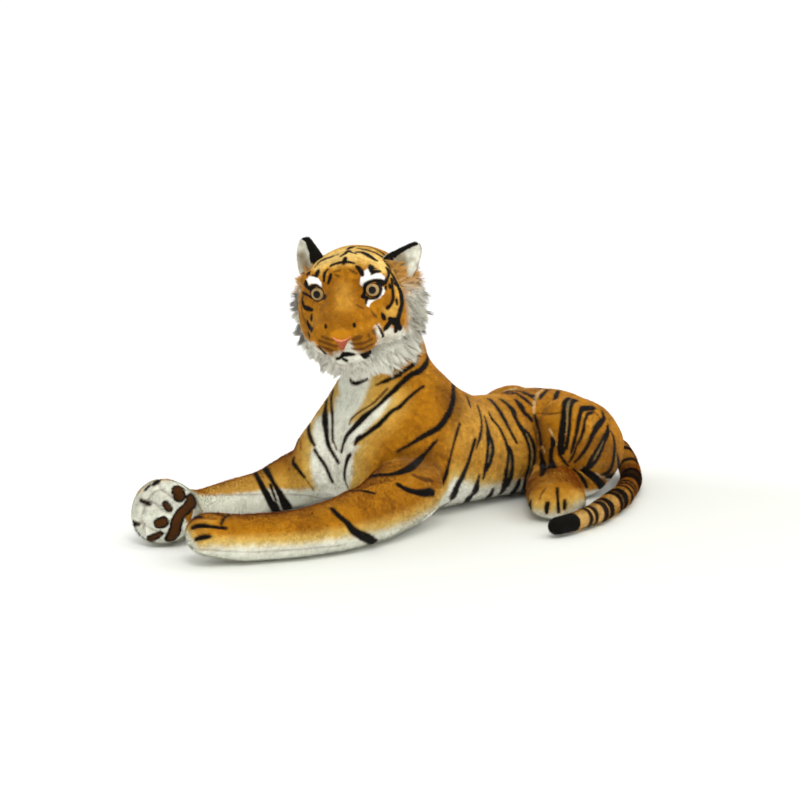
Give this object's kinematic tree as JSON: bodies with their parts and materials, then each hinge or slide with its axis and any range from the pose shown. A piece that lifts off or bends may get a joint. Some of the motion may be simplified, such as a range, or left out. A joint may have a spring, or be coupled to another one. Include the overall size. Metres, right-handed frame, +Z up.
{
  "type": "plush tiger",
  "caption": "Large stuffed tiger lying on its belly with forelegs stretched ahead, head turned to its left and tail curled round its side.",
  "frame": {"origin": "on the floor, under the middle of the belly, in the belly's flat resting face", "axes": "+Z up, the animal faces -X, its own left side is -Y"},
  "size_m": [1.1343, 0.6684, 0.516],
  "materials": {
    "orange_pile": "short pile, airbrushed",
    "white_pile": "short pile",
    "black_pile": "short pile",
    "polyester_filling": "loose fibre",
    "eye_plastic": "clear over painted iris",
    "washer_plastic": "matte",
    "nose_fabric": "smooth felt"
  },
  "bodies": {
    "root": {"torso_cover": "orange_pile", "torso_filling": "polyester_filling", "thigh_left_cover": "orange_pile", "thigh_left_filling": "polyester_filling", "thigh_right_cover": "orange_pile", "thigh_right_filling": "polyester_filling", "hind_paw_left_cover": "orange_pile", "hind_paw_left_filling": "polyester_filling", "hind_paw_right_cover": "orange_pile", "hind_paw_right_filling": "polyester_filling"},
    "head": {"head_cover": "orange_pile", "head_filling": "polyester_filling", "eye_left": "eye_plastic", "eye_right": "eye_plastic", "eye_washer_left": "washer_plastic", "eye_washer_right": "washer_plastic", "nose": "nose_fabric", "ear_left_back": "black_pile", "ear_left_lining": "white_pile", "ear_right_back": "black_pile", "ear_right_lining": "white_pile"},
    "foreleg_left": {"foreleg_left_cover": "orange_pile", "foreleg_left_filling": "polyester_filling"},
    "foreleg_right": {"foreleg_right_cover": "orange_pile", "foreleg_right_filling": "polyester_filling"},
    "tail_base": {"tail_base_cover": "orange_pile", "tail_base_filling": "polyester_filling"},
    "tail_end": {"tail_end_cover": "orange_pile", "tail_end_filling": "polyester_filling"}
  },
  "joints": [
    {"name": "head_turn", "type": "hinge", "parent": "root", "child": "head", "pos_m": [-0.14, 0, 0.295], "axis": [0, 0, 1], "range_deg": [-20, 20], "stiffness_Nm_per_rad": 2},
    {"name": "foreleg_left_lift", "type": "hinge", "parent": "root", "child": "foreleg_left", "pos_m": [-0.165, -0.122, 0.067], "axis": [0, 1, 0], "range_deg": [0, 11]},
    {"name": "foreleg_right_lift", "type": "hinge", "parent": "root", "child": "foreleg_right", "pos_m": [-0.165, 0.122, 0.067], "axis": [0, 1, 0], "range_deg": [0, 11]},
    {"name": "tail_swing", "type": "hinge", "parent": "root", "child": "tail_base", "pos_m": [0.448, 0, 0.066], "axis": [0, 0, 1], "range_deg": [0, 30], "stiffness_Nm_per_rad": 0.3},
    {"name": "tail_curl", "type": "hinge", "parent": "tail_base", "child": "tail_end", "pos_m": [0.24395, -0.245, 0.02014], "axis": [0, 0, 1], "range_deg": [0, 25], "stiffness_Nm_per_rad": 0.1}
  ]
}
